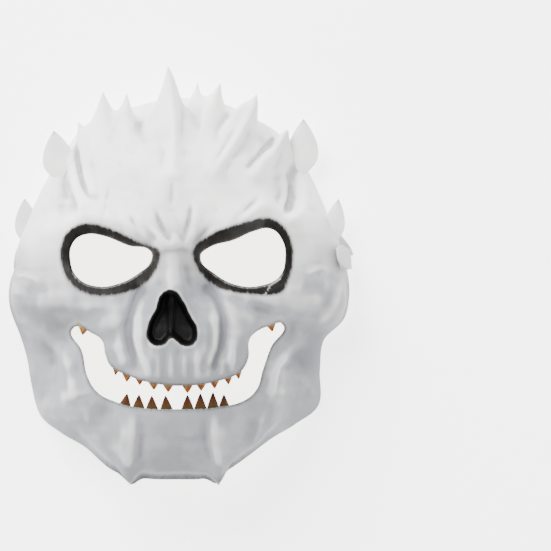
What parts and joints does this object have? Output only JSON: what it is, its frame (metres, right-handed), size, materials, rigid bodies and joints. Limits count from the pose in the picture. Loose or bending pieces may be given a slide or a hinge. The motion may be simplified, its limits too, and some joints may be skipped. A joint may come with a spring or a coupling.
{
  "type": "skull mask",
  "caption": "Hollow moulded skull mask for a face, with open eyes and mouth, small teeth, a crown of horns, side fins and an elastic head strap glued on with round pads.",
  "frame": {"origin": "middle of the bottom of the box, on the surface that the rim rests on", "axes": "+Z out of the face towards the viewer, +Y from the chin to the top of the head, +X to the right in the front view"},
  "size_m": [0.2072, 0.2516, 0.0906],
  "materials": {
    "painted_foam": "matt painted polyurethane foam, off-white to light grey with brown-black airbrushing round the eyes, nose and mouth and copper-brown teeth",
    "woven_elastic": "white woven elastic tape",
    "foam_pad": "matt light grey foam disc"
  },
  "bodies": {
    "root": {"face_shell": "painted_foam", "elastic_strap": "woven_elastic", "strap_pad_right": "foam_pad", "strap_pad_left": "foam_pad"}
  },
  "joints": []
}
